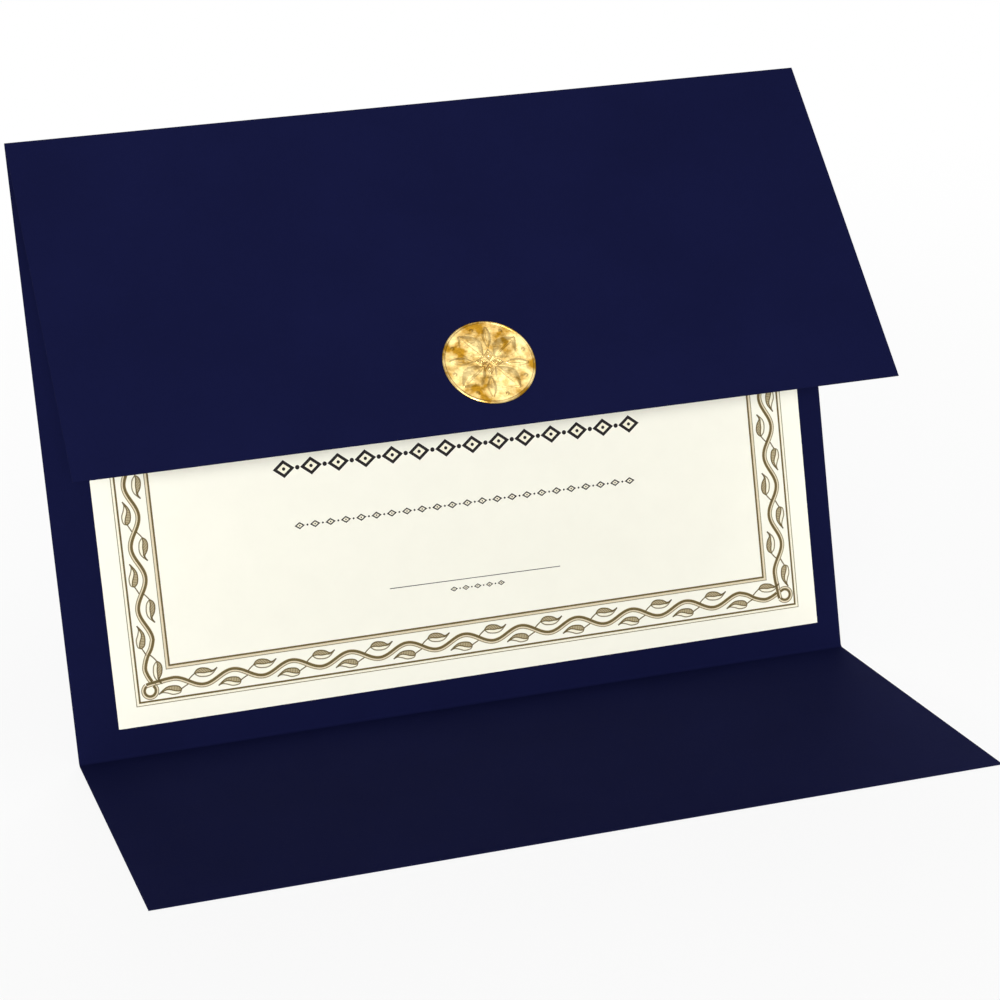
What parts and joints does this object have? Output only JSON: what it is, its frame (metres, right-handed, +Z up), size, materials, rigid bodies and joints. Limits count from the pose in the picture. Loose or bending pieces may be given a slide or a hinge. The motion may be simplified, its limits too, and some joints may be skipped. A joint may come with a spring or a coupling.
{
  "type": "diploma cover",
  "caption": "Folded card diploma cover standing open: base flap, leaning back panel with a letter sheet against it, and a top flap with a round embossed seal.",
  "frame": {"origin": "on the surface that the cover stands on, under the middle of its box", "axes": "+X along the folds, to the right as seen from the front; +Y from the base flap's free edge to the back; +Z up"},
  "size_m": [0.3048, 0.177, 0.2261],
  "materials": {
    "navy_card": "matte",
    "ivory_paper": "matte",
    "gold_foil": "satin"
  },
  "bodies": {
    "root": {"cover": "navy_card", "certificate": "ivory_paper", "seal": "gold_foil"}
  },
  "joints": []
}
